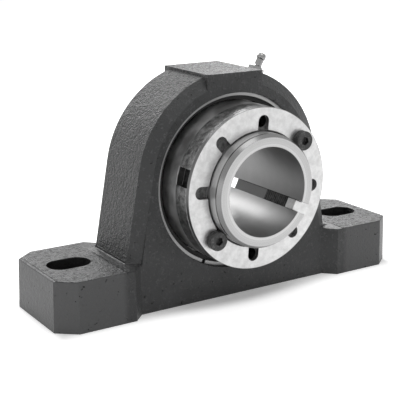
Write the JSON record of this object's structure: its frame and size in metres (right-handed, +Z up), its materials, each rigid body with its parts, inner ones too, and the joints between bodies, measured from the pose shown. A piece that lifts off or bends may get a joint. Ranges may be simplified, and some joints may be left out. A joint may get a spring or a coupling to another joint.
{
  "type": "one-piece plummer block",
  "caption": "Cast plummer block with a slotted foot at each end, holding a self-aligning roller bearing on a split adapter sleeve with a lock nut and lock plate.",
  "frame": {"origin": "middle of the base's underside, straight under the middle of the bearing", "axes": "+X along the base from foot to foot, +Y along the shaft away from the lock nut, +Z up"},
  "size_m": [0.275, 0.1026, 0.161],
  "materials": {
    "housing_iron": "dark charcoal enamel over a rough as-cast skin",
    "bearing_steel": "ground and hardened steel",
    "cage_brass": "machined brass",
    "guide_iron": "turned grey iron",
    "sleeve_steel": "fine turned and polished steel",
    "nut_steel": "black oxide with worn mottling",
    "plate_steel": "bright ground sheet steel",
    "screw_steel": "black oxide",
    "ring_steel": "plain spring steel",
    "seal_rubber": "black nitrile rubber",
    "fitting_steel": "bright zinc plate"
  },
  "bodies": {
    "housing": {"housing": "housing_iron", "outer_ring": "bearing_steel", "seal_front": "seal_rubber", "seal_back": "seal_rubber", "retaining_ring_front": "ring_steel", "retaining_ring_back": "ring_steel", "grease_fitting": "fitting_steel", "check_spring": "ring_steel"},
    "guide_ring": {"guide_ring": "guide_iron"},
    "shaft_set": {"inner_ring": "bearing_steel", "adapter_sleeve": "sleeve_steel", "lock_nut": "nut_steel", "lock_plate": "plate_steel", "lock_screw_1": "screw_steel", "lock_screw_2": "screw_steel"},
    "cage_set": {"cage_front": "cage_brass", "cage_back": "cage_brass", "roller_row_front": "bearing_steel", "roller_row_back": "bearing_steel"},
    "check_ball": {"check_ball": "bearing_steel"}
  },
  "joints": [
    {"name": "self_alignment", "type": "hinge", "parent": "housing", "child": "guide_ring", "pos_m": [0, 0, 0.08], "axis": [1, 0, 0], "range_deg": [-1, 1]},
    {"name": "shaft_spin", "type": "hinge", "parent": "guide_ring", "child": "shaft_set", "pos_m": [0, 0, 0.08], "axis": [0, 1, 0], "continuous": true},
    {"name": "cage_spin", "type": "hinge", "parent": "guide_ring", "child": "cage_set", "pos_m": [0, 0, 0.08], "axis": [0, 1, 0], "continuous": true},
    {"name": "check_ball_slide", "type": "slide", "parent": "housing", "child": "check_ball", "axis": [-0.4695, 0, -0.8829], "range_m": [0, 0.0006], "stiffness_N_per_m": 50, "springref_m": -0.003, "deforming": ["check_spring"]}
  ],
  "couplings": [
    {"joint": "cage_spin", "follows": "shaft_spin", "ratio": 0.4473}
  ]
}
